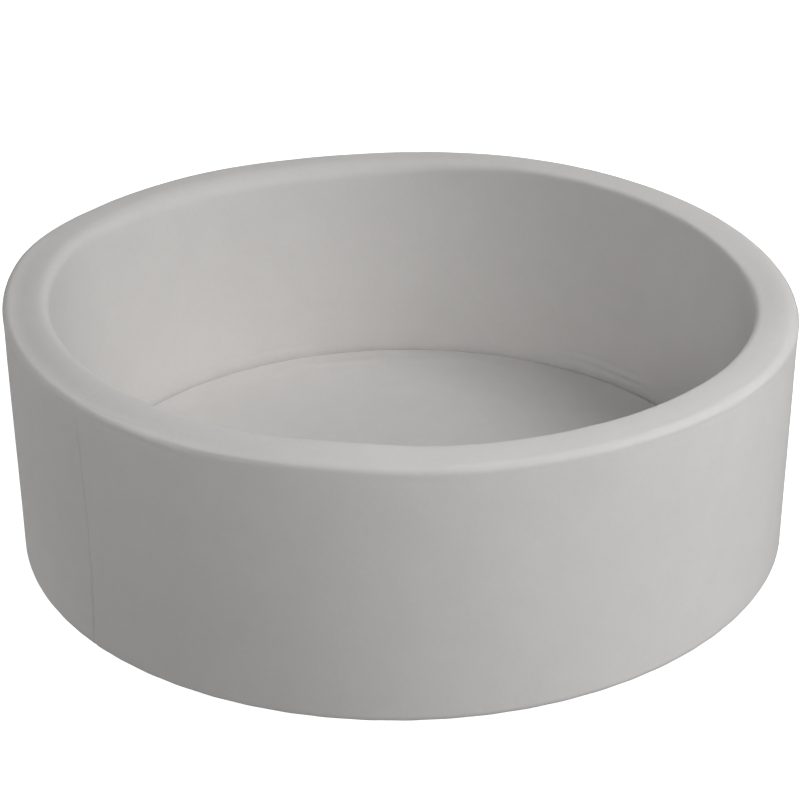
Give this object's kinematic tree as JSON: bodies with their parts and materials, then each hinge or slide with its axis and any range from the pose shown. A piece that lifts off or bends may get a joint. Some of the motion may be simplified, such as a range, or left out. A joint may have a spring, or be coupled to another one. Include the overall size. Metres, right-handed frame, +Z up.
{
  "type": "ball pit",
  "caption": "Round soft play pit: a foam ring in a zipped stretch cloth sleeve on a cloth base, with a loose padded floor that lifts out.",
  "frame": {"origin": "centre of the underside, on the floor that the pit stands on", "axes": "+Z up along the pit's axis; -Y towards the picture's camera, so the upright seam is at the front left and the zip along the back"},
  "size_m": [0.8996, 0.8996, 0.3],
  "materials": {
    "cover_cloth": "matte brushed stretch cloth",
    "base_cloth": "matte non-slip cloth",
    "foam": "matte open-cell foam",
    "zip_tape": "matte woven tape",
    "zip_teeth": "satin",
    "zip_metal": "satin"
  },
  "bodies": {
    "ring": {"base_panel": "base_cloth", "wall_foam_1": "foam", "wall_foam_2": "foam", "wall_foam_3": "foam", "wall_foam_4": "foam", "wall_cover": "cover_cloth", "seam_allowance": "cover_cloth", "zip_tape_upper": "zip_tape", "zip_tape_lower": "zip_tape", "zip_teeth_upper": "zip_teeth", "zip_teeth_lower": "zip_teeth", "zip_bottom_stop": "zip_metal", "zip_top_stop_upper": "zip_metal", "zip_top_stop_lower": "zip_metal"},
    "floor_pad": {"pad_foam": "foam", "pad_top_panel": "cover_cloth", "pad_side_band": "cover_cloth", "pad_underside": "base_cloth"},
    "zip_runner": {"zip_slider": "zip_metal"},
    "zip_pull": {"zip_pull_tab": "zip_metal"}
  },
  "joints": [
    {"name": "floor_pad_lift", "type": "slide", "parent": "ring", "child": "floor_pad", "axis": [0, 0, 1], "range_m": [0, 0.35]},
    {"name": "zip_run", "type": "hinge", "parent": "ring", "child": "zip_runner", "pos_m": [0, 0, 0.022], "axis": [0, 0, -1], "range_deg": [0, 150], "deforming": ["zip_teeth_upper", "zip_teeth_lower"]},
    {"name": "zip_pull_turn", "type": "hinge", "parent": "zip_runner", "child": "zip_pull", "pos_m": [-0.43594, 0.11675, 0.022], "axis": [0, 0, 1], "range_deg": [0, 170]}
  ]
}
